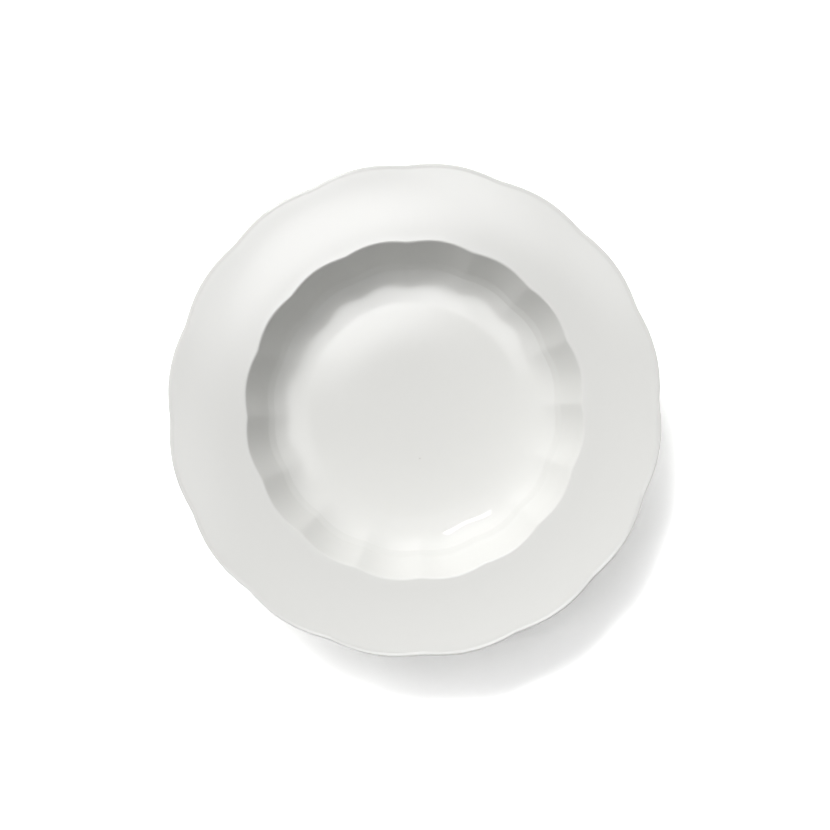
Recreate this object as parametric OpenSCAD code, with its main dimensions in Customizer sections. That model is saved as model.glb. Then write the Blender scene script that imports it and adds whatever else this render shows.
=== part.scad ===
// Round deep plate of glazed ceramic, with a scalloped rim and a fluted well.
// It stands on its foot ring. The origin is the middle of the ring's flat underside,
// +Z points up, and a crest of the scallops lies on +X.

/* [Rim] */
// Diameter of the plate over two opposite crests of its scallops
rim_d = 240; // [220:1:280]
// Slope of the rim in degrees where it leaves the well
rim_start_angle = 4; // [0:0.5:7]
// Slope of the rim in degrees at its outer edge
rim_end_angle = 13; // [8:0.5:18]
// Thickness of the rim at its rounded edge
rim_t = 4.2; // [3.4:0.1:5.5]
// Number of scallops round the rim, and of flutes in the well
scallops = 16; // [12:1:20]
// Depth of a scallop in the outline, from crest to cusp
scallop_depth = 1.5; // [0.5:0.1:2.5]

/* [Well] */
// Diameter of the well's opening over two opposite crests
well_d = 164.8; // [158:0.2:172]
// Depth of the floor below the edge of the well
well_depth = 27.5; // [24:0.5:32]
// Radius of the roundover at the edge of the well
lip_r = 1.8; // [1.4:0.1:4]
// Diameter of the crease where the cove meets the wall
crease_d = 138.4; // [132:0.2:142]
// Slope of the cove in degrees where it meets the crease
crease_angle = 36; // [28:1:42]
// Width of the softer band at the foot of the wall, measured outwards from the crease
wall_foot_w = 3.2; // [2:0.1:4.5]
// Slope of that band in degrees
wall_foot_angle = 49; // [45:1:52]
// Diameter of the flat middle of the floor, round which the floor is dished
floor_d = 40; // [30:1:56]
// Slope in degrees that the dish of the floor alone would reach at the crease
dish_angle = 5; // [3:0.5:8]
// Depth of a flute at the edge of the well
flute_depth = 1.4; // [0.4:0.05:2]
// Depth of a flute at the crease
crease_flute_depth = 0.95; // [0.3:0.05:1.4]

/* [Walls] */
// Thickness of the wall of the well, across the wall
wall_t = 4.8; // [4:0.1:6]
// Thickness of the floor over the recess of the foot
floor_t = 4.6; // [3.8:0.1:6]
// Radius of the hollow under the rim, where it meets the wall
shoulder_r = 7; // [4:0.5:10]
// Thickness of the glaze
glaze_t = 0.3; // [0.2:0.05:0.5]

/* [Foot] */
// Outer diameter of the glazed foot ring
foot_d = 117; // [111:1:122]
// Width of the foot ring
foot_w = 4.4; // [3.6:0.1:6]
// Height of the recess inside the foot ring
recess_h = 3.8; // [3:0.1:5]
// Height of the bare band at the bottom of the foot ring
bare_h = 1.3; // [1:0.1:1.8]
// Radius of the rounded corners of the bare band
bare_r = 0.9; // [0.4:0.1:1]
// Step from the glaze in to the bare band
bare_step = 0.3; // [0.1:0.05:0.4]
// Radius of the hollow between the foot ring and the cove
foot_fillet = 1.2; // [0.8:0.1:1.6]

/* [Hidden] */

clay_colour = "#e3dccd";
glaze_colour = "#f4f4f1";
underside_colour = "#eeeeea";

// Columns of points in one scallop, where the rings of the cove are, and steps in the other parts
columns_per_scallop = 6;
cove_shares = [0, 0.48, 0.74, 0.89];
lip_steps = 2;
rim_steps = 3;
under_steps = 2;
shoulder_steps = 2;
foot_cove_steps = 2;
corner_steps = 4;

// How sharp the cusps are: 0 is a knife edge
cusp_softness_share = 0.1;
// How late the cove rises out of the dish: a higher power makes it narrower
cove_power = 6.5;
// How fast the flutes fade over the cove: above 1 they leave more of the floor plain
flute_fade_power = 3.5;
// How much deeper the flutes are at the top of the wall's foot: 1 is as deep as at the well's edge
wall_foot_flute_share = 0.8;
// How much of a flute shows on the underside
under_flute_share = 0.9;
// How far a cutting shape runs past what it cuts, and a joined one into what it joins
overrun = 1;

columns = columns_per_scallop * scallops;
rim_r = rim_d / 2;
well_r = well_d / 2;
crease_r = crease_d / 2;
floor_r = floor_d / 2;
foot_r = foot_d / 2;
foot_inner_r = foot_r - foot_w;

floor_z = recess_h + floor_t;
lip_z = floor_z + well_depth;
cove_w = crease_r - floor_r;
dish_steepness = tan(dish_angle);
cove_steepness = tan(crease_angle) - dish_steepness;
crease_z = floor_z + cove_height(crease_r);
crease_mean_angle = (crease_angle + wall_foot_angle) / 2;
wall_foot = [crease_r + wall_foot_w, crease_z + wall_foot_w * tan(wall_foot_angle)];
wall_angle = atan2(lip_z - wall_foot[1], well_r - wall_foot[0]);
wall_foot_mean_angle = (wall_foot_angle + wall_angle) / 2;

// Half of the turn that the profile makes over the edge of the well
lip_half_turn = (wall_angle - rim_start_angle) / 2;
lip_tangent = lip_r * tan(lip_half_turn);
lip_end = [well_r + lip_tangent * cos(rim_start_angle), lip_z + lip_tangent * sin(rim_start_angle)];
lip_centre = lip_end + lip_r * [sin(rim_start_angle), -cos(rim_start_angle)];

// The rim rises on a parabola from the roundover to the top of its rounded edge
edge_r = rim_t / 2;
rim_run = rim_r - edge_r * (1 + sin(rim_end_angle)) - lip_end[0];
rim_curve = (tan(rim_end_angle) - tan(rim_start_angle)) / (2 * rim_run);
edge_centre = rim_point(rim_run) + edge_r * [sin(rim_end_angle), -cos(rim_end_angle)];

// Corner of the underside, below the edge of the well, before it is rounded
shoulder_mean_angle = (wall_angle + rim_start_angle) / 2;
shoulder_corner = [well_r, lip_z]
    + wall_t / cos(lip_half_turn) * [sin(shoulder_mean_angle), -cos(shoulder_mean_angle)];
shoulder_end = shoulder_corner
    + shoulder_r * tan(lip_half_turn) * [cos(rim_start_angle), sin(rim_start_angle)];
shoulder_centre = shoulder_end + shoulder_r * [sin(rim_start_angle), -cos(rim_start_angle)];

// Underside of the cove where it meets the foot ring
foot_top_z = floor_z + cove_height(foot_r) - wall_t * cos(cove_slope(foot_r));

// Centre of the hollow between the wall of the recess and its ceiling
recess_hollow = [foot_inner_r - foot_fillet, recess_h - foot_fillet];

function mix(a, b, share) = a + (b - a) * share;

// Point of the rim's upper face, at a distance out from the roundover
function rim_point(x) = lip_end + [x, tan(rim_start_angle) * x + rim_curve * x * x];

// Slope of the rim's upper face there
function rim_slope(x) = atan(tan(rim_start_angle) + 2 * rim_curve * x);

// Point of an arc whose surface has this slope. It faces away from the centre.
function arc_point(centre, radius, slope) = centre + radius * [-sin(slope), cos(slope)];

// 1 over a crest and 0 at a cusp: the arches of a cosine, with their cusps a little softened
function lobe(turn) =
    let (
        s = cusp_softness_share,
        arch = sqrt(pow(cos(scallops * turn / 2), 2) + s * s)
    ) (arch - s) / (sqrt(1 + s * s) - s);

// How far a radius is from the flat middle to the crease, from 0 to 1
function cove_share(r) = max(0, r - floor_r) / cove_w;

// Height of the dish and the cove above the flat middle at a radius, the slope there, and the
// depth of the flutes
function cove_height(r) =
    let (share = cove_share(r), dish = dish_steepness * share * share / 2)
    cove_w * (dish + cove_steepness * pow(share, cove_power) / cove_power);
function cove_slope(r) =
    let (share = cove_share(r))
    atan(dish_steepness * share + cove_steepness * pow(share, cove_power - 1));
function cove_pull(r) = crease_flute_depth * pow(cove_share(r), flute_fade_power);

// A station is one point of the profile over a crest of the scallops: where it is, the slope of
// the surface, how far it is pulled in at a cusp, and the slope that it slides down there.
function station(point, slope, pull, slide = 0) = [point[0], point[1], slope, pull, slide];

// Inside of the plate, from the floor up to the edge of the well
inside = [
    for (share = cove_shares)
        let (r = mix(floor_r, crease_r, share))
        station([r, floor_z + cove_height(r)], cove_slope(r), cove_pull(r)),
    station([crease_r, crease_z], crease_mean_angle, crease_flute_depth),
    station(wall_foot, wall_foot_mean_angle, mix(crease_flute_depth, flute_depth, wall_foot_flute_share)),
    for (i = [0:lip_steps])
        let (a = mix(wall_angle, rim_start_angle, i / lip_steps))
        station(arc_point(lip_centre, lip_r, a), a, flute_depth, rim_start_angle)
];

// Upper face of the rim, and its rounded edge
rim = [
    for (i = [1:rim_steps])
        let (x = rim_run * i / rim_steps)
        station(rim_point(x), rim_slope(x), mix(flute_depth, scallop_depth, i / rim_steps), rim_slope(x)),
    for (a = [0, -45, -90, rim_end_angle / 2 - 135, rim_end_angle - 180])
        station(arc_point(edge_centre, edge_r, a), a, scallop_depth, rim_end_angle)
];

// Underside, from the edge of the rim back to the bare band of the foot ring
under_pull = under_flute_share * flute_depth;
under = [
    for (i = [1:under_steps - 1])
        let (
            share = i / under_steps,
            x = rim_run * (1 - share),
            slope = rim_slope(x),
            depth = mix(rim_t, wall_t, share)
        )
        station(
            rim_point(x) + depth * [sin(slope), -cos(slope)], slope - 180,
            mix(scallop_depth, under_pull, share), slope
        ),
    for (i = [0:shoulder_steps])
        let (a = mix(rim_start_angle, wall_angle, i / shoulder_steps))
        station(arc_point(shoulder_centre, shoulder_r, a), a - 180, under_pull, rim_start_angle),
    station(
        [crease_r, crease_z] + wall_t * [sin(crease_mean_angle), -cos(crease_mean_angle)],
        crease_mean_angle - 180, under_flute_share * crease_flute_depth
    ),
    for (i = [1:foot_cove_steps])
        let (
            r = mix(crease_r, foot_r, i / foot_cove_steps),
            a = cove_slope(r),
            fade = (foot_cove_steps - i) / foot_cove_steps
        )
        station(
            [r, floor_z + cove_height(r)] + wall_t * [sin(a), -cos(a)], a - 180,
            under_flute_share * cove_pull(r) * fade
        ),
    station([foot_r, foot_top_z - foot_fillet], -90, 0),
    station([foot_r, bare_h], -90, 0)
];

profile = concat(inside, rim, under);

// The ring of points round the plate that a station stands for, set back below the surface
function ring_points(station, setback) = [
    for (i = [0:columns - 1])
        let (
            turn = 360 * i / columns,
            pull = station[3] * (1 - lobe(turn)),
            r = station[0] + setback * sin(station[2]) - pull,
            z = station[1] - setback * cos(station[2]) - pull * tan(station[4])
        )
        [r * cos(turn), r * sin(turn), z]
];

// A closed skin through rings of points, with a flat disc in its first ring and in its last
module loft(rings) {
    last = len(rings) - 1;
    first_middle = (last + 1) * columns;
    points = [
        for (ring = rings) each ring,
        [0, 0, rings[0][0][2]],
        [0, 0, rings[last][0][2]]
    ];
    faces = [
        for (k = [0:columns - 1])
            let (next = (k + 1) % columns)
            each [
                [first_middle, next, k],
                [first_middle + 1, last * columns + k, last * columns + next],
                for (i = [0:last - 1])
                    let (inner = i * columns, outer = inner + columns)
                    each [
                        [inner + k, inner + next, outer + next],
                        [inner + k, outer + next, outer + k]
                    ]
            ]
    ];
    polyhedron(points, faces, convexity = 4);
}

// Points of a quarter circle round a centre, from one direction to another
function corner(centre, radius, from, to) = [
    for (i = [0:corner_steps])
        let (a = mix(from, to, i / corner_steps))
        centre + radius * [cos(a), sin(a)]
];

// Bottom of the foot ring as a whole disc, which the recess then opens
module foot_blank() {
    bare_outer_r = foot_r - glaze_t - bare_step;
    rotate_extrude($fn = 180)
        polygon(concat(
            [[0, 0]],
            corner([bare_outer_r - bare_r, bare_r], bare_r, -90, 0),
            [[bare_outer_r, bare_h + overrun], [0, bare_h + overrun]]
        ));
}

// Space under the floor of the bare clay, with a rounded mouth and a hollow at the top of its wall
module recess() {
    wall_r = foot_inner_r + glaze_t;
    rotate_extrude($fn = 180)
        polygon(concat(
            [[0, -overrun], [wall_r + bare_r, -overrun]],
            corner([wall_r + bare_r, bare_r], bare_r, 270, 180),
            corner(recess_hollow, foot_fillet + glaze_t, 0, 90),
            [[0, recess_h + glaze_t]]
        ));
}

// Fired clay: the rim, the fluted wall, the floor and the foot ring in one piece
module ceramic_body() {
    color(clay_colour)
        difference() {
            union() {
                loft([for (s = profile) ring_points(s, glaze_t)]);
                foot_blank();
            }
            recess();
        }
}

// Glass over the whole face, round the rim's edge and down the underside to the bare band
module glaze_coat() {
    color(glaze_colour)
        loft(concat(
            [for (s = profile) ring_points(s, 0)],
            [for (i = [len(profile) - 1:-1:0]) ring_points(profile[i], glaze_t)]
        ));
}

// Glass inside the recess, cut off from the coat by the bare band
module recess_glaze() {
    color(underside_colour)
        rotate_extrude($fn = 180)
        polygon(concat(
            corner(recess_hollow, foot_fillet + glaze_t, 0, 90),
            [[0, recess_h + glaze_t], [0, recess_h]],
            corner(recess_hollow, foot_fillet, 90, 0),
            [[foot_inner_r, bare_h], [foot_inner_r + glaze_t, bare_h]]
        ));
}

ceramic_body();
glaze_coat();
recess_glaze();
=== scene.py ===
"""White glazed deep plate with a scalloped rim and a fluted well, on a white table.

Lengths are in millimetres and angles in degrees, unless a name says otherwise. The meshes are in
metres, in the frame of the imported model: the plate stands on z = 0, round the Z axis.
"""

import logging
import math
from dataclasses import dataclass, field
from enum import Enum

import bpy
import numpy as np
from mathutils import Euler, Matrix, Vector


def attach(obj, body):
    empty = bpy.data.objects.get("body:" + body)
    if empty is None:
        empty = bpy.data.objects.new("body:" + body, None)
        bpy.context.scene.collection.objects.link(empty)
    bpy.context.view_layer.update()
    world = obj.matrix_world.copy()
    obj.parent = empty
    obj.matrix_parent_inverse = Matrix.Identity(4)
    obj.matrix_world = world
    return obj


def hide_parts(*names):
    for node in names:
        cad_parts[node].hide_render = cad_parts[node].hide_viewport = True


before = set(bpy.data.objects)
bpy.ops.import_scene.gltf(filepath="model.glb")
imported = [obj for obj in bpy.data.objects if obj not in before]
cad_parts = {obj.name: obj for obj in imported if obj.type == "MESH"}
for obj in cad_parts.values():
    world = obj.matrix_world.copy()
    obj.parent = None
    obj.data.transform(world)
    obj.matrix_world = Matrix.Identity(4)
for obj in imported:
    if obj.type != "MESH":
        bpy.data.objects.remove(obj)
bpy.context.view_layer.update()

LOG = logging.getLogger("plate")

MM = 0.001
# Sockets of a mix node in its colour mode: the two colours that go in and the one that comes out
MIX_FROM, MIX_TO, MIX_RESULT = 6, 7, 2

# The photograph: its frame, what one pixel measures at the rim, and where the plate's middle is
PHOTO_PX = 830
PX_MM = 240.0 / 497.2
PLATE_MIDDLE_PX = (414.7, 410.2)
# A crest of the scallops lies this far round from the photograph's right, clockwise
CREST_TURN = 9.1


def linear(hex_colour: str) -> tuple[float, float, float, float]:
    """Turn an sRGB hex colour into linear red, green and blue.

    Args:
        hex_colour: The colour as #rrggbb.

    Returns:
        Linear red, green, blue and an alpha of 1.
    """
    channels = [int(hex_colour[i:i + 2], 16) / 255 for i in (1, 3, 5)]
    red, green, blue = (
        c / 12.92 if c <= 0.04045 else ((c + 0.055) / 1.055) ** 2.4 for c in channels
    )
    return red, green, blue, 1.0


def mix(low: float, high: float, share: float) -> float:
    """Return the value that lies this share of the way from low to high."""
    return low + (high - low) * share


def ease(share: float | np.ndarray) -> float | np.ndarray:
    """Return a share from 0 to 1 eased, so that it starts and ends without a kink."""
    return share**2 * (3 - 2 * share)


def add_node(
    tree: bpy.types.NodeTree,
    kind: str,
    settings: dict[str, object] | None = None,
    values: dict[str | int, object] | None = None,
    links: dict[str | int, bpy.types.NodeSocket] | None = None,
) -> bpy.types.Node:
    """Add a node to a tree, with its settings, its input values and its incoming links.

    Args:
        tree: The tree of a material or a world.
        kind: The node's type, such as ShaderNodeMix.
        settings: Properties of the node itself.
        values: Default values of inputs, by name or number.
        links: Sockets of other nodes, by the input they go into.

    Returns:
        The new node.
    """
    node = tree.nodes.new(kind)
    for name, setting in (settings or {}).items():
        setattr(node, name, setting)
    for socket, value in (values or {}).items():
        node.inputs[socket].default_value = value
    for socket, source in (links or {}).items():
        tree.links.new(source, node.inputs[socket])
    return node


def add_seen(tree: bpy.types.NodeTree, path: bpy.types.Node) -> bpy.types.NodeSocket:
    """Add a switch that tells the rays that show a thing from the rays that gather its light.

    Args:
        tree: The tree of a material or a world.
        path: Its light path node.

    Returns:
        1 for the camera's, a reflection's or a transmitted ray, and 0 for any other.
    """
    seen = add_node(
        tree, "ShaderNodeMath", settings={"operation": "MAXIMUM"},
        links={0: path.outputs["Is Camera Ray"], 1: path.outputs["Is Glossy Ray"]},
    )
    seen = add_node(
        tree, "ShaderNodeMath", settings={"operation": "MAXIMUM"},
        links={0: seen.outputs["Value"], 1: path.outputs["Is Transmission Ray"]},
    )
    return seen.outputs["Value"]


def blank_material(name: str) -> bpy.types.Material:
    """Return a material of this name whose node tree is empty."""
    material = bpy.data.materials.new(name)
    material.use_nodes = True
    material.node_tree.nodes.clear()
    return material


# Finishes


@dataclass(frozen=True)
class GlazeFinish:
    """White gloss glaze fired over clay: a hard, wet-looking skin of a nearly neutral white.

    Dipped glaze levels out in the kiln but keeps a faint waviness, which only its reflections
    show, and now and then a pinhead of iron from the clay darkens it.
    """

    name: str = "white_gloss_glaze"
    colour: str = "#e0e0dd"
    speck_colour: str = "#8d8577"
    roughness: float = 0.06
    ior: float = 1.52
    wave_length: float = 11.0
    wave_height: float = 0.012
    wave_detail: float = 1.0
    wave_roughness: float = 0.4
    speck_spacing: float = 24.0
    speck_radius: float = 0.28
    speck_core: float = 0.6
    speck_share: float = 0.3

    def speckled(
        self, tree: bpy.types.NodeTree, place: bpy.types.NodeSocket
    ) -> bpy.types.NodeSocket:
        """Add the glaze's colour, with a small speck here and there.

        Args:
            tree: The material's tree.
            place: The place on the plate.

        Returns:
            The colour.
        """
        specks = add_node(
            tree, "ShaderNodeTexVoronoi",
            values={"Scale": 1 / (self.speck_spacing * MM), "Randomness": 1.0},
            links={"Vector": place},
        )
        # The distance is in cells: a speck is the small middle of a cell that has one
        near = add_node(
            tree, "ShaderNodeMapRange", settings={"clamp": True},
            values={
                "From Min": self.speck_core * self.speck_radius / self.speck_spacing,
                "From Max": self.speck_radius / self.speck_spacing,
                "To Min": 1.0, "To Max": 0.0,
            },
            links={"Value": specks.outputs["Distance"]},
        )
        chance = add_node(
            tree, "ShaderNodeSeparateColor", links={"Color": specks.outputs["Color"]},
        )
        chosen = add_node(
            tree, "ShaderNodeMath", settings={"operation": "LESS_THAN"},
            values={1: self.speck_share}, links={0: chance.outputs["Red"]},
        )
        speck = add_node(
            tree, "ShaderNodeMath", settings={"operation": "MULTIPLY"},
            links={0: near.outputs["Result"], 1: chosen.outputs["Value"]},
        )
        colour = add_node(
            tree, "ShaderNodeMix", settings={"data_type": "RGBA"},
            values={MIX_FROM: linear(self.colour), MIX_TO: linear(self.speck_colour)},
            links={"Factor": speck.outputs["Value"]},
        )
        return colour.outputs[MIX_RESULT]

    def rippled(
        self, tree: bpy.types.NodeTree, place: bpy.types.NodeSocket
    ) -> bpy.types.NodeSocket:
        """Add the faint waviness of the glaze.

        Args:
            tree: The material's tree.
            place: The place on the plate.

        Returns:
            The direction that the surface faces.
        """
        waves = add_node(
            tree, "ShaderNodeTexNoise",
            values={
                "Scale": 1 / (self.wave_length * MM),
                "Detail": self.wave_detail, "Roughness": self.wave_roughness,
            },
            links={"Vector": place},
        )
        relief = add_node(
            tree, "ShaderNodeBump",
            values={"Strength": 1.0, "Distance": self.wave_height * MM},
            links={"Height": waves.outputs["Fac"]},
        )
        return relief.outputs["Normal"]

    def build(self) -> bpy.types.Material:
        """Make the material."""
        material = blank_material(self.name)
        tree = material.node_tree
        place = add_node(tree, "ShaderNodeTexCoord").outputs["Object"]
        shader = add_node(
            tree, "ShaderNodeBsdfPrincipled",
            values={"Roughness": self.roughness, "IOR": self.ior},
            links={"Base Color": self.speckled(tree, place), "Normal": self.rippled(tree, place)},
        )
        add_node(
            tree, "ShaderNodeOutputMaterial", links={"Surface": shader.outputs["BSDF"]},
        )
        return material


@dataclass(frozen=True)
class BisqueFinish:
    """Fired clay wiped bare of glaze: matt, dry and warm, with a fine sandy grain."""

    name: str = "bare_fired_clay"
    colour: str = "#e0d8c8"
    grain_colour: str = "#cbc0ac"
    roughness: float = 0.85
    ior: float = 1.5
    grain: float = 0.6
    grain_detail: float = 3.0
    grain_height: float = 0.02
    mottle: float = 9.0
    mottle_detail: float = 4.0

    def build(self) -> bpy.types.Material:
        """Make the material."""
        material = blank_material(self.name)
        tree = material.node_tree
        place = add_node(tree, "ShaderNodeTexCoord").outputs["Object"]
        mottle = add_node(
            tree, "ShaderNodeTexNoise",
            values={"Scale": 1 / (self.mottle * MM), "Detail": self.mottle_detail},
            links={"Vector": place},
        )
        colour = add_node(
            tree, "ShaderNodeMix", settings={"data_type": "RGBA"},
            values={MIX_FROM: linear(self.colour), MIX_TO: linear(self.grain_colour)},
            links={"Factor": mottle.outputs["Fac"]},
        )
        grain = add_node(
            tree, "ShaderNodeTexNoise",
            values={"Scale": 1 / (self.grain * MM), "Detail": self.grain_detail},
            links={"Vector": place},
        )
        relief = add_node(
            tree, "ShaderNodeBump",
            values={"Strength": 1.0, "Distance": self.grain_height * MM},
            links={"Height": grain.outputs["Fac"]},
        )
        shader = add_node(
            tree, "ShaderNodeBsdfPrincipled",
            values={"Roughness": self.roughness, "IOR": self.ior},
            links={
                "Base Color": colour.outputs[MIX_RESULT], "Normal": relief.outputs["Normal"],
            },
        )
        add_node(
            tree, "ShaderNodeOutputMaterial", links={"Surface": shader.outputs["BSDF"]},
        )
        return material


@dataclass(frozen=True)
class TableFinish:
    """Smooth white table board, matt and paper white, which keeps the plate's soft shadow."""

    name: str = "white_table_board"
    colour: str = "#e9e9e9"
    roughness: float = 0.9
    gain: float = 2.6

    def build(self) -> bpy.types.Material:
        """Make the material: the camera and reflections see it brightened to white."""
        material = blank_material(self.name)
        tree = material.node_tree
        seen = add_seen(tree, add_node(tree, "ShaderNodeLightPath"))
        board = add_node(
            tree, "ShaderNodeBsdfDiffuse",
            values={"Color": linear(self.colour), "Roughness": self.roughness},
        )
        bright_board = add_node(
            tree, "ShaderNodeBsdfDiffuse", values={"Color": (self.gain,) * 3 + (1.0,)},
        )
        surface = add_node(
            tree, "ShaderNodeMixShader",
            links={"Fac": seen, 1: board.outputs["BSDF"], 2: bright_board.outputs["BSDF"]},
        )
        add_node(
            tree, "ShaderNodeOutputMaterial", links={"Surface": surface.outputs["Shader"]},
        )
        return material


# The plate's section


@dataclass(frozen=True)
class Station:
    """One point of the plate's half section, over a crest of the scallops.

    Attributes:
        radius: Distance from the plate's axis.
        height: Height over the table.
        slope: Slope of the surface there; the air is on its left, going along the section.
        pull: How far it is pulled in at a cusp.
        slide: The slope that it slides down there.
        rise: How far it stands up at a cusp.
    """

    radius: float
    height: float
    slope: float
    pull: float = 0.0
    slide: float = 0.0
    rise: float = 0.0

    def set_back(self, depth: float) -> "Station":
        """Return the station this far below the surface."""
        angle = math.radians(self.slope)
        return Station(
            self.radius + depth * math.sin(angle), self.height - depth * math.cos(angle),
            self.slope, self.pull, self.slide, self.rise,
        )


def direction(slope: float) -> Vector:
    """Return the unit step along a section that has this slope."""
    return Vector((math.cos(math.radians(slope)), math.sin(math.radians(slope))))


def upwards(slope: float) -> Vector:
    """Return the unit step off a surface that has this slope."""
    return Vector((-math.sin(math.radians(slope)), math.cos(math.radians(slope))))


@dataclass(frozen=True)
class PlateSection:
    """Half section of the plate over a crest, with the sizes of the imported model."""

    rim_d: float = 240.0
    rim_start_angle: float = 4.0
    rim_end_angle: float = 13.0
    rim_t: float = 4.2
    scallop_depth: float = 1.5
    well_d: float = 164.8
    well_depth: float = 27.5
    lip_r: float = 1.8
    crease_d: float = 138.4
    crease_angle: float = 36.0
    wall_foot_w: float = 3.2
    wall_foot_angle: float = 49.0
    floor_d: float = 40.0
    dish_angle: float = 5.0
    flute_depth: float = 1.4
    crease_flute_depth: float = 0.95
    wall_t: float = 4.8
    floor_t: float = 4.6
    shoulder_r: float = 7.0
    glaze_t: float = 0.3
    foot_d: float = 117.0
    recess_h: float = 3.8
    bare_h: float = 1.3
    foot_fillet: float = 1.2
    cove_power: float = 6.5
    flute_fade_power: float = 3.5
    wall_foot_flute_share: float = 0.8
    under_flute_share: float = 0.9
    # How round the glaze leaves the two soft corners of the well
    crease_r: float = 0.9
    wall_foot_r: float = 6.0
    # How much further out than a circle the shoulder of the rim's edge stands, as a share,
    # and how soon that fades away from the shoulder
    edge_square: float = 0.2
    edge_square_power: int = 4
    # Slope of the glaze by radius: a slow dish, a soft edge round the floor, then the cove
    inner_slopes: tuple[tuple[float, float], ...] = (
        (20.0, 0.0), (45.0, 4.2), (51.0, 5.2), (53.5, 10.5), (57.0, 12.0), (60.0, 14.0),
        (62.0, 17.0), (64.0, 22.0), (66.0, 30.0), (69.2, 34.5),
    )
    # How far the ridges between the flutes stand up from the cove, and where they fade out
    ridge_rise: float = 0.45
    ridge_start_r: float = 60.0
    ridge_full_r: float = 68.0
    # Steps of the mesh along each stretch of the section
    cove_steps: int = 33
    crease_steps: int = 2
    foot_run_steps: int = 4
    wall_foot_steps: int = 3
    wall_steps: int = 5
    lip_steps: int = 8
    rim_steps: int = 10
    edge_steps: int = 6
    under_edge_steps: int = 5
    under_rim_steps: int = 8
    shoulder_steps: int = 8
    under_wall_steps: int = 4
    under_cove_steps: int = 6
    foot_fillet_slopes: tuple[float, ...] = (25.0, 45.0, 65.0)

    @property
    def floor_z(self) -> float:
        """Height of the flat floor."""
        return self.recess_h + self.floor_t

    @property
    def cove_w(self) -> float:
        """Width of the dish and the cove, from the flat middle to the crease."""
        return (self.crease_d - self.floor_d) / 2

    @property
    def dish_steepness(self) -> float:
        """Steepness that the dish of the floor alone would reach at the crease."""
        return math.tan(math.radians(self.dish_angle))

    @property
    def cove_steepness(self) -> float:
        """Steepness that the cove adds to the dish there."""
        return math.tan(math.radians(self.crease_angle)) - self.dish_steepness

    @property
    def crease(self) -> Vector:
        """The corner where the cove meets the wall's foot."""
        return self.cove_point(self.crease_d / 2)

    @property
    def wall_foot(self) -> Vector:
        """The corner where the wall's foot meets the wall."""
        return self.crease + Vector(
            (self.wall_foot_w, self.wall_foot_w * math.tan(math.radians(self.wall_foot_angle)))
        )

    @property
    def wall_foot_pull(self) -> float:
        """Depth of the flutes where the wall starts."""
        return mix(self.crease_flute_depth, self.flute_depth, self.wall_foot_flute_share)

    @property
    def under_pull(self) -> float:
        """Depth of the flutes on the outside of the wall."""
        return self.under_flute_share * self.flute_depth

    @property
    def lip(self) -> Vector:
        """The corner at the edge of the well, before it is rounded."""
        return Vector((self.well_d / 2, self.floor_z + self.well_depth))

    @property
    def wall_angle(self) -> float:
        """Slope of the wall."""
        rise = self.lip - self.wall_foot
        return math.degrees(math.atan2(rise.y, rise.x))

    @property
    def lip_half_turn(self) -> float:
        """Half of the turn that the section makes over the edge of the well."""
        return (self.wall_angle - self.rim_start_angle) / 2

    @property
    def lip_end(self) -> Vector:
        """Where the rim leaves the roundover of the well's edge."""
        tangent = self.lip_r * math.tan(math.radians(self.lip_half_turn))
        return self.lip + tangent * direction(self.rim_start_angle)

    @property
    def edge_r(self) -> float:
        """Radius of the rim's rounded edge."""
        return self.rim_t / 2

    @property
    def rim_run(self) -> float:
        """Width of the rim, from the roundover to its rounded edge."""
        overhang = self.edge_r * (1 + math.sin(math.radians(self.rim_end_angle)))
        return self.rim_d / 2 - overhang - self.lip_end.x

    @property
    def rim_curve(self) -> float:
        """How fast the rim's slope grows."""
        start, end = math.radians(self.rim_start_angle), math.radians(self.rim_end_angle)
        return (math.tan(end) - math.tan(start)) / (2 * self.rim_run)

    def cove_share(self, radius: float) -> float:
        """Return how far a radius is from the flat middle to the crease, from 0 to 1."""
        return max(0.0, radius - self.floor_d / 2) / self.cove_w

    def cove_point(self, radius: float) -> Vector:
        """Return the point of the dish and the cove at a radius."""
        share = self.cove_share(radius)
        dish = self.dish_steepness * share**2 / 2
        cove = self.cove_steepness * share**self.cove_power / self.cove_power
        return Vector((radius, self.floor_z + self.cove_w * (dish + cove)))

    def cove_slope(self, radius: float) -> float:
        """Return the slope of the dish and the cove at a radius."""
        share = self.cove_share(radius)
        steepness = self.dish_steepness * share + self.cove_steepness * share ** (
            self.cove_power - 1
        )
        return math.degrees(math.atan(steepness))

    def cove_pull(self, radius: float) -> float:
        """Return the depth of the cove's flutes at a radius."""
        return self.crease_flute_depth * self.cove_share(radius) ** self.flute_fade_power

    def inner_line(self, end: float, steps: int) -> list[tuple[Vector, float]]:
        """Walk up the dish and the cove, following the slopes of the glaze.

        Args:
            end: Radius where the walk ends.
            steps: Steps in it.

        Returns:
            The points with their slopes, from the flat middle on.
        """
        radii = np.linspace(self.floor_d / 2, end, steps + 1)
        known, slopes = zip(*self.inner_slopes)
        fine_steps = 50
        fine = np.linspace(radii[0], end, fine_steps * steps + 1)
        steepness = np.tan(np.radians(np.interp(fine, known, slopes)))
        climb = np.concatenate(
            [[0.0], np.cumsum((steepness[1:] + steepness[:-1]) / 2 * np.diff(fine))]
        )
        heights = self.floor_z + np.interp(radii, fine, climb)
        return [
            (Vector((float(radius), float(height))), float(np.interp(radius, known, slopes)))
            for radius, height in zip(radii, heights)
        ]

    def ridge(self, radius: float) -> float:
        """Return how far the ridges between the flutes stand up at a radius of the cove."""
        share = (radius - self.ridge_start_r) / (self.ridge_full_r - self.ridge_start_r)
        return self.ridge_rise * ease(min(max(share, 0.0), 1.0))

    def rim_point(self, run: float) -> Vector:
        """Return the rim's point at a distance out from the roundover."""
        start = math.tan(math.radians(self.rim_start_angle))
        return self.lip_end + Vector((run, start * run + self.rim_curve * run * run))

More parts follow.
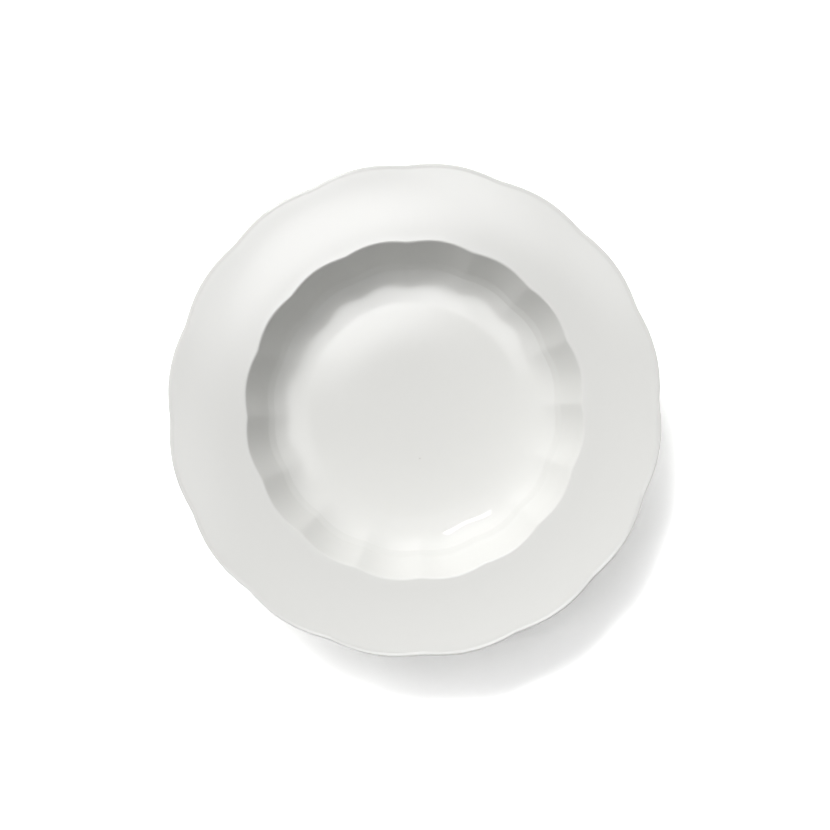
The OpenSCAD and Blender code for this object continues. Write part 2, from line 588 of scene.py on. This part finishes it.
    def rim_slope(self, run: float) -> float:
        """Return the rim's slope there."""
        start = math.tan(math.radians(self.rim_start_angle))
        return math.degrees(math.atan(start + 2 * self.rim_curve * run))

    @staticmethod
    def hollow(
        corner: Vector, before: float, after: float, radius: float, steps: int
    ) -> list[tuple[Vector, float]]:
        """Round a hollow corner between two slopes.

        Args:
            corner: The corner before it is rounded.
            before: Slope that comes in.
            after: Slope that goes out, steeper.
            radius: Radius of the hollow.
            steps: Steps along it.

        Returns:
            The points of the hollow with their slopes.
        """
        tangent = radius * math.tan(math.radians((after - before) / 2))
        centre = corner - tangent * direction(before) + radius * upwards(before)
        slopes = [mix(before, after, i / steps) for i in range(steps + 1)]
        return [(centre - radius * upwards(slope), slope) for slope in slopes]

    def floor_to_crease(self, crease: list[tuple[Vector, float]]) -> list[Station]:
        """Return the stations of the floor, the cove and the crease.

        Args:
            crease: The points of the crease's hollow with their slopes.

        Returns:
            The stations, from the middle of the floor on.
        """
        stations = [Station(0.0, self.floor_z, 0.0), Station(self.floor_d / 2, self.floor_z, 0.0)]
        for point, slope in self.inner_line(crease[0][0].x, self.cove_steps)[1:-1]:
            stations.append(Station(
                point.x, point.y, slope, self.cove_pull(point.x), rise=self.ridge(point.x),
            ))
        for point, slope in crease:
            stations.append(Station(
                point.x, point.y, slope, self.crease_flute_depth, rise=self.ridge_rise,
            ))
        return stations

    def crease_to_wall(
        self, start: Vector, foot: list[tuple[Vector, float]]
    ) -> list[Station]:
        """Return the stations of the wall's foot, on which the ridges fade out again.

        Args:
            start: Where the crease ends.
            foot: The points of the hollow under the wall with their slopes.

        Returns:
            The stations, up to the start of the wall.
        """
        stations = []
        end, foot_slope = foot[0]
        for i in range(1, self.foot_run_steps):
            share = i / self.foot_run_steps
            point = start.lerp(end, share)
            stations.append(Station(
                point.x, point.y, foot_slope,
                mix(self.crease_flute_depth, self.wall_foot_pull, share),
                rise=self.ridge_rise * (1 - share),
            ))
        for point, slope in foot:
            stations.append(Station(point.x, point.y, slope, self.wall_foot_pull))
        return stations

    def wall(self, start: Vector) -> list[Station]:
        """Return the stations of the wall and of the round edge of the well.

        Args:
            start: Where the wall starts.

        Returns:
            The stations, up to the start of the rim.
        """
        stations = []
        lip_centre = self.lip_end - self.lip_r * upwards(self.rim_start_angle)
        lip_start = lip_centre + self.lip_r * upwards(self.wall_angle)
        for i in range(1, self.wall_steps):
            share = i / self.wall_steps
            point = start.lerp(lip_start, share)
            stations.append(Station(
                point.x, point.y, self.wall_angle,
                mix(self.wall_foot_pull, self.flute_depth, share),
                self.rim_start_angle * share,
            ))
        for i in range(self.lip_steps + 1):
            slope = mix(self.wall_angle, self.rim_start_angle, i / self.lip_steps)
            point = lip_centre + self.lip_r * upwards(slope)
            stations.append(
                Station(point.x, point.y, slope, self.flute_depth, self.rim_start_angle)
            )
        return stations

    def inside(self) -> list[Station]:
        """Return the stations from the middle of the floor up to the edge of the well."""
        corner, corner_slope = self.inner_line(self.crease_d / 2, self.cove_steps)[-1]
        climb = self.wall_foot - corner
        foot_slope = math.degrees(math.atan2(climb.y, climb.x))
        crease = self.hollow(
            corner, corner_slope, foot_slope, self.crease_r, self.crease_steps
        )
        foot = self.hollow(
            self.wall_foot, foot_slope, self.wall_angle, self.wall_foot_r, self.wall_foot_steps
        )
        foot_stations = self.crease_to_wall(crease[-1][0], foot)
        return self.floor_to_crease(crease) + foot_stations + self.wall(foot[-1][0])

    def rim(self) -> list[Station]:
        """Return the stations of the rim's upper face and of its rounded edge."""
        stations = []
        for i in range(1, self.rim_steps + 1):
            share = i / self.rim_steps
            run = self.rim_run * share
            point, slope = self.rim_point(run), self.rim_slope(run)
            pull = mix(self.flute_depth, self.scallop_depth, share)
            stations.append(Station(point.x, point.y, slope, pull, slope))
        centre = self.rim_point(self.rim_run) - self.edge_r * upwards(self.rim_end_angle)
        # The rim levels out, turns down its edge and then goes back under itself
        slopes = [self.rim_end_angle / 2, 0.0]
        slopes += [-90.0 * i / self.edge_steps for i in range(1, self.edge_steps + 1)]
        slopes += [
            mix(-90.0, self.rim_end_angle - 180, i / self.under_edge_steps)
            for i in range(1, self.under_edge_steps + 1)
        ]
        for slope in slopes:
            # The shoulder of the edge, half way down, is a little squarer than a circle
            square = math.sin(math.radians(2 * slope)) if -90 < slope < 0 else 0.0
            swell = 1 + self.edge_square * square**self.edge_square_power
            point = centre + self.edge_r * swell * upwards(slope)
            stations.append(
                Station(point.x, point.y, slope, self.scallop_depth, self.rim_end_angle)
            )
        return stations

    def under_rim(self) -> list[Station]:
        """Return the stations under the rim, from its edge inwards."""
        stations = []
        for i in range(1, self.under_rim_steps):
            share = i / self.under_rim_steps
            run = self.rim_run * (1 - share)
            slope = self.rim_slope(run)
            point = self.rim_point(run) - mix(self.rim_t, self.wall_t, share) * upwards(slope)
            pull = mix(self.scallop_depth, self.under_pull, share)
            stations.append(Station(point.x, point.y, slope - 180, pull, slope))
        return stations

    def under_wall(self) -> list[Station]:
        """Return the stations of the shoulder under the rim and down the wall's outside."""
        stations = []
        mean = (self.wall_angle + self.rim_start_angle) / 2
        corner = self.lip - self.wall_t / math.cos(math.radians(self.lip_half_turn)) * upwards(mean)
        end = corner + self.shoulder_r * math.tan(
            math.radians(self.lip_half_turn)
        ) * direction(self.rim_start_angle)
        centre = end - self.shoulder_r * upwards(self.rim_start_angle)
        for i in range(self.shoulder_steps + 1):
            slope = mix(self.rim_start_angle, self.wall_angle, i / self.shoulder_steps)
            point = centre + self.shoulder_r * upwards(slope)
            stations.append(
                Station(point.x, point.y, slope - 180, self.under_pull, self.rim_start_angle)
            )
        crease_mean = (self.crease_angle + self.wall_foot_angle) / 2
        low = self.crease - self.wall_t * upwards(crease_mean)
        high = stations[-1]
        crease_pull = self.under_flute_share * self.crease_flute_depth
        for i in range(1, self.under_wall_steps):
            share = i / self.under_wall_steps
            point = Vector((high.radius, high.height)).lerp(low, share)
            stations.append(Station(
                point.x, point.y, self.wall_angle - 180,
                mix(self.under_pull, crease_pull, share),
                self.rim_start_angle * (1 - share),
            ))
        stations.append(Station(low.x, low.y, crease_mean - 180, crease_pull))
        return stations

    def under_cove(self) -> list[Station]:
        """Return the stations under the cove and down the foot ring to its bare band."""
        stations = []
        for i in range(1, self.under_cove_steps + 1):
            share = i / self.under_cove_steps
            radius = mix(self.crease_d / 2, self.foot_d / 2, share)
            slope = self.cove_slope(radius)
            point = self.cove_point(radius) - self.wall_t * upwards(slope)
            pull = self.under_flute_share * self.cove_pull(radius) * (1 - share)
            stations.append(Station(point.x, point.y, slope - 180, pull))
        foot_r = self.foot_d / 2
        top = stations[-1]
        # The glaze rounds the hollow over the foot ring
        for slope in self.foot_fillet_slopes:
            angle = math.radians(slope)
            radius = foot_r + (top.radius - foot_r) * (1 - math.sin(angle))
            height = top.height - self.foot_fillet * (1 - math.cos(angle))
            stations.append(Station(radius, height, slope - 180))
        stations.append(Station(foot_r, top.height - self.foot_fillet, -90.0))
        stations.append(Station(foot_r, self.bare_h, -90.0))
        return stations

    def underside(self) -> list[Station]:
        """Return the stations of the underside, back to the bare band of the foot ring."""
        return self.under_rim() + self.under_wall() + self.under_cove()

    def surface(self) -> list[Station]:
        """Return the stations of the whole glazed surface."""
        return self.inside() + self.rim() + self.underside()


@dataclass(frozen=True)
class Flutes:
    """The arches that pull the plate in between its crests."""

    count: int = 16
    softness: float = 0.1

    def lobe(self, turn: np.ndarray) -> np.ndarray:
        """Return 1 over a crest and 0 at a cusp, for angles in radians."""
        arch = np.sqrt(np.cos(self.count * turn / 2) ** 2 + self.softness**2)
        return (arch - self.softness) / (math.sqrt(1 + self.softness**2) - self.softness)

    def press(self, mesh: bpy.types.Mesh, stations: list[Station]) -> None:
        """Pull a turned mesh in at the cusps, station by station.

        Args:
            mesh: The turned mesh, whose vertices lie on the stations.
            stations: The stations that it was turned from.
        """
        points = np.empty(len(mesh.vertices) * 3)
        mesh.vertices.foreach_get("co", points)
        points = points.reshape(-1, 3) / MM
        radius = np.hypot(points[:, 0], points[:, 1])
        turn = np.arctan2(points[:, 1], points[:, 0])
        places = np.array([(s.radius, s.height) for s in stations])
        gap = (radius[:, None] - places[:, 0]) ** 2 + (points[:, 2][:, None] - places[:, 1]) ** 2
        nearest = gap.argmin(axis=1)
        pulls = np.array([s.pull for s in stations])[nearest]
        slides = np.array([math.tan(math.radians(s.slide)) for s in stations])[nearest]
        rises = np.array([s.rise for s in stations])[nearest]
        cusp = 1 - self.lobe(turn)
        pull = pulls * cusp
        points[:, 0] -= pull * np.cos(turn)
        points[:, 1] -= pull * np.sin(turn)
        points[:, 2] += rises * cusp - pull * slides
        mesh.vertices.foreach_set("co", (points * MM).ravel())
        mesh.update()


# Pieces


@dataclass
class GlazeCoat:
    """Glass over the face, round the rim's edge and down the underside to the bare band."""

    section: PlateSection = field(default_factory=PlateSection)
    flutes: Flutes = field(default_factory=Flutes)
    columns: int = 384
    merge_distance: float = 0.002
    smooth_angle: float = 40.0
    name: str = "fluted_glaze"

    def stations(self) -> list[Station]:
        """Return the closed loop of the coat's section: its outer face, then its inner one."""
        outer = self.section.surface()
        # The inner face lies on the clay, unseen, and makes do with every second station
        inner = [s.set_back(self.section.glaze_t) for s in outer[::-2]]
        if inner[-1].radius > 0:
            inner.append(outer[0].set_back(self.section.glaze_t))
        return outer + inner

    def draw_section(self, stations: list[Station]) -> bpy.types.Object:
        """Draw the half section by extruding one vertex from station to station.

        Args:
            stations: The section's points in order.

        Returns:
            The object, still in edit mode.
        """
        bpy.ops.object.select_all(action="DESELECT")
        start = stations[0]
        bpy.ops.mesh.primitive_plane_add(size=MM, location=(0, 0, 0))
        piece = bpy.context.active_object
        piece.name = piece.data.name = self.name
        bpy.ops.object.mode_set(mode="EDIT")
        bpy.ops.mesh.select_all(action="SELECT")
        bpy.ops.mesh.merge(type="CENTER")
        bpy.ops.transform.translate(value=(start.radius * MM, 0, start.height * MM))
        for here, there in zip(stations, stations[1:]):
            step = ((there.radius - here.radius) * MM, 0, (there.height - here.height) * MM)
            bpy.ops.mesh.extrude_vertices_move(TRANSFORM_OT_translate={"value": step})
        return piece

    def build(self, finish: bpy.types.Material) -> bpy.types.Object:
        """Turn the section round the plate's axis, press the flutes and dress it.

        Args:
            finish: The glaze's material.

        Returns:
            The finished piece.
        """
        stations = self.stations()
        piece = self.draw_section(stations)
        bpy.ops.mesh.select_all(action="SELECT")
        bpy.ops.mesh.spin(
            steps=self.columns, angle=math.tau, center=(0, 0, 0), axis=(0, 0, 1),
        )
        bpy.ops.mesh.select_all(action="SELECT")
        bpy.ops.mesh.remove_doubles(threshold=self.merge_distance * MM)
        bpy.ops.mesh.normals_make_consistent(inside=False)
        bpy.ops.object.mode_set(mode="OBJECT")
        self.flutes.press(piece.data, stations)
        bpy.ops.object.shade_smooth_by_angle(angle=math.radians(self.smooth_angle))
        piece.data.materials.append(finish)
        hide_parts("glaze_coat")
        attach(piece, "root")
        return piece


@dataclass
class CadPieces:
    """The clay and the glass of the recess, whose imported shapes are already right."""

    bodies: tuple[str, ...] = ("ceramic_body",)
    glass: tuple[str, ...] = ("recess_glaze",)

    def dress(self, node: str, finish: bpy.types.Material) -> None:
        """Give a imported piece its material."""
        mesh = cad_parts[node].data
        mesh.materials.clear()
        mesh.materials.append(finish)


# The studio


class Seen(Enum):
    """What a glow lights."""

    ALL = "everything"
    SHEEN = "only reflections"
    BODY = "everything but reflections"


def towards(azimuth: float, zenith: float) -> Vector:
    """Return the direction of a place in the studio, seen from the plate.

    Args:
        azimuth: Which side of the photograph it is on, counter-clockwise from the right.
        zenith: Its angle from straight above.

    Returns:
        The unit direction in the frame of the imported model.
    """
    turn, tilt = math.radians(azimuth + CREST_TURN), math.radians(zenith)
    return Vector(
        (math.cos(turn) * math.sin(tilt), math.sin(turn) * math.sin(tilt), math.cos(tilt))
    )


@dataclass(frozen=True)
class SoftBox:
    """A rectangular soft lamp that points at the plate.

    Attributes:
        name: Its name.
        azimuth: Which side of the photograph it stands on, counter-clockwise from the right.
        zenith: Its angle from straight above.
        distance_m: Its distance.
        width: Its width as an angle.
        height: Its height as an angle.
        level: How bright it shows a white surface that faces it, 1 being white.
    """

    name: str
    azimuth: float
    zenith: float
    distance_m: float
    width: float
    height: float
    level: float

    def build(self) -> bpy.types.Object:
        """Set the lamp up."""
        place = towards(self.azimuth, self.zenith)
        data = bpy.data.lights.new(self.name, "AREA")
        data.shape = "RECTANGLE"
        data.size = 2 * self.distance_m * math.tan(math.radians(self.width / 2))
        data.size_y = 2 * self.distance_m * math.tan(math.radians(self.height / 2))
        # White shows a small lamp as bright as its power over the square of pi times its distance
        data.energy = self.level * math.pi**2 * self.distance_m**2
        lamp = bpy.data.objects.new(self.name, data)
        lamp.location = place * self.distance_m
        lamp.rotation_euler = (-place).to_track_quat("-Z", "Y").to_euler()
        lamp.visible_camera = False
        bpy.context.scene.collection.objects.link(lamp)
        return lamp


@dataclass(frozen=True)
class SoftGlow:
    """A large diffuser far away, whose light fades out towards its edge.

    Attributes:
        name: Its name.
        azimuth: Which side of the photograph it is on, counter-clockwise from the right.
        zenith: Its angle from straight above.
        reach: The angle from its middle to where its light ends.
        level: How bright it shows a white surface that faces it, 1 being white.
        seen: What it lights.
    """

    name: str
    azimuth: float
    zenith: float
    reach: float
    level: float
    seen: Seen = Seen.ALL

    def peak(self) -> float:
        """Return the brightness of its middle that gives its level."""
        steps = 2000
        step = math.radians(self.reach) / steps
        angle = (np.arange(steps) + 0.5) * step
        edge = math.cos(math.radians(self.reach))
        fade = ease((np.cos(angle) - edge) / (1 - edge))
        ring = fade * np.cos(angle) * np.sin(angle)
        return self.level / (2 * float(ring.sum()) * step)

    def build(
        self,
        tree: bpy.types.NodeTree,
        view: bpy.types.NodeSocket,
        glossy: bpy.types.NodeSocket,
    ) -> bpy.types.NodeSocket:
        """Add the glow to the world's tree.

        Args:
            tree: The world's tree.
            view: The direction that the world is looked at in.
            glossy: 1 for a reflection's ray and 0 for any other.

        Returns:
            The glow's strength in that direction.
        """
        facing = add_node(
            tree, "ShaderNodeVectorMath", settings={"operation": "DOT_PRODUCT"},
            values={1: towards(self.azimuth, self.zenith)}, links={0: view},
        )
        glow = add_node(
            tree, "ShaderNodeMapRange",
            settings={"clamp": True, "interpolation_type": "SMOOTHSTEP", "name": self.name},
            values={
                "From Min": math.cos(math.radians(self.reach)), "From Max": 1.0,
                "To Min": 0.0, "To Max": self.peak(),
            },
            links={"Value": facing.outputs["Value"]},
        )
        if self.seen is Seen.ALL:
            return glow.outputs["Result"]
        share = glossy
        if self.seen is Seen.BODY:
            share = add_node(
                tree, "ShaderNodeMath", settings={"operation": "SUBTRACT"},
                values={0: 1.0}, links={1: glossy},
            ).outputs["Value"]
        part = add_node(
            tree, "ShaderNodeMath", settings={"operation": "MULTIPLY"},
            links={0: glow.outputs["Result"], 1: share},
        )
        return part.outputs["Value"]


@dataclass
class Studio:
    """Table, soft lamps, white surroundings and the camera straight above."""

    table_finish: TableFinish = field(default_factory=TableFinish)
    table_size_m: float = 6.0
    ambient: float = 0.14
    camera_m: float = 2.0
    sensor_mm: float = 36.0
    rim_height: float = 40.0
    lamps: tuple[SoftBox, ...] = (
        SoftBox("key_box", 116, 31, 1.4, 12, 7, 0.09),
    )
    glows: tuple[SoftGlow, ...] = (
        SoftGlow("key_left", 142, 43, 16, 0.12, Seen.BODY),
        SoftGlow("key_middle", 117, 43, 16, 0.52, Seen.BODY),
        SoftGlow("key_right", 92, 43, 16, 0.08, Seen.BODY),
        SoftGlow("left_glow", 182, 28, 24, 0.09, Seen.BODY),
        SoftGlow("right_glow", 40, 28, 24, 0.06, Seen.BODY),
        SoftGlow("low_glow", 112, 80, 45, 0.26),
        SoftGlow("mid_sheen", 297, 12, 10, 0.035, Seen.SHEEN),
        SoftGlow("top_sheen", 292, 20, 20, 0.29, Seen.SHEEN),
        SoftGlow("low_left_sheen", 236, 26, 18, 0.14, Seen.SHEEN),
        SoftGlow("low_right_sheen", 0, 26, 18, 0.088, Seen.SHEEN),
    )

    def build_table(self) -> bpy.types.Object:
        """Lay the table board under the plate."""
        bpy.ops.object.select_all(action="DESELECT")
        bpy.ops.mesh.primitive_plane_add(size=self.table_size_m, location=(0, 0, 0))
        table = bpy.context.active_object
        table.name = table.data.name = "table_board"
        table.data.materials.append(self.table_finish.build())
        return table

    def build_world(self) -> bpy.types.World:
        """Surround the scene: white where it is seen, and dimmer where it lights."""
        world = bpy.data.worlds.new("studio_surround")
        bpy.context.scene.world = world
        world.use_nodes = True
        tree = world.node_tree
        tree.nodes.clear()
        path = add_node(tree, "ShaderNodeLightPath")
        base = add_node(
            tree, "ShaderNodeMapRange", settings={"name": "surround"},
            values={"To Min": self.ambient, "To Max": 1.0}, links={"Value": add_seen(tree, path)},
        )
        strength = base.outputs["Result"]
        view = add_node(tree, "ShaderNodeTexCoord").outputs["Generated"]
        for glow in self.glows:
            total = add_node(
                tree, "ShaderNodeMath", settings={"operation": "ADD"},
                links={0: strength, 1: glow.build(tree, view, path.outputs["Is Glossy Ray"])},
            )
            strength = total.outputs["Value"]
        surround = add_node(
            tree, "ShaderNodeBackground", values={"Color": (1.0, 1.0, 1.0, 1.0)},
            links={"Strength": strength},
        )
        add_node(tree, "ShaderNodeOutputWorld", links={"Surface": surround.outputs["Background"]})
        return world

    def build_camera(self) -> bpy.types.Object:
        """Hang the camera over the plate, so that the plate fills the photograph's frame."""
        data = bpy.data.cameras.new("camera")
        camera = bpy.data.objects.new("camera", data)
        bpy.context.scene.collection.objects.link(camera)
        bpy.context.scene.camera = camera
        data.sensor_fit = "HORIZONTAL"
        data.sensor_width = self.sensor_mm
        frame_m = PHOTO_PX * PX_MM * MM
        data.lens = data.sensor_width * (self.camera_m - self.rim_height * MM) / frame_m
        roll = math.radians(CREST_TURN)
        middle = PHOTO_PX / 2
        across = (middle - PLATE_MIDDLE_PX[0]) * PX_MM * MM
        up = (PLATE_MIDDLE_PX[1] - middle) * PX_MM * MM
        camera.location = (
            across * math.cos(roll) - up * math.sin(roll),
            across * math.sin(roll) + up * math.cos(roll),
            self.camera_m,
        )
        camera.rotation_euler = Euler((0, 0, roll))
        return camera

    def build(self) -> None:
        """Set up the whole studio."""
        self.build_table()
        self.build_world()
        for lamp in self.lamps:
            lamp.build()
        self.build_camera()
        bpy.context.scene.view_settings.view_transform = "Standard"


def main() -> None:
    """Build the plate and the studio."""
    logging.basicConfig(level=logging.INFO, format="%(message)s")
    glaze = GlazeFinish().build()
    bisque = BisqueFinish().build()
    packed = CadPieces()
    for node in packed.bodies:
        packed.dress(node, bisque)
        LOG.info("%s: bare fired clay", node)
    for node in packed.glass:
        packed.dress(node, glaze)
        LOG.info("%s: gloss glaze", node)
    coat = GlazeCoat().build(glaze)
    LOG.info("%s: %d faces", coat.name, len(coat.data.polygons))
    Studio().build()
    LOG.info("sizes written")


if __name__ == "__main__":
    main()
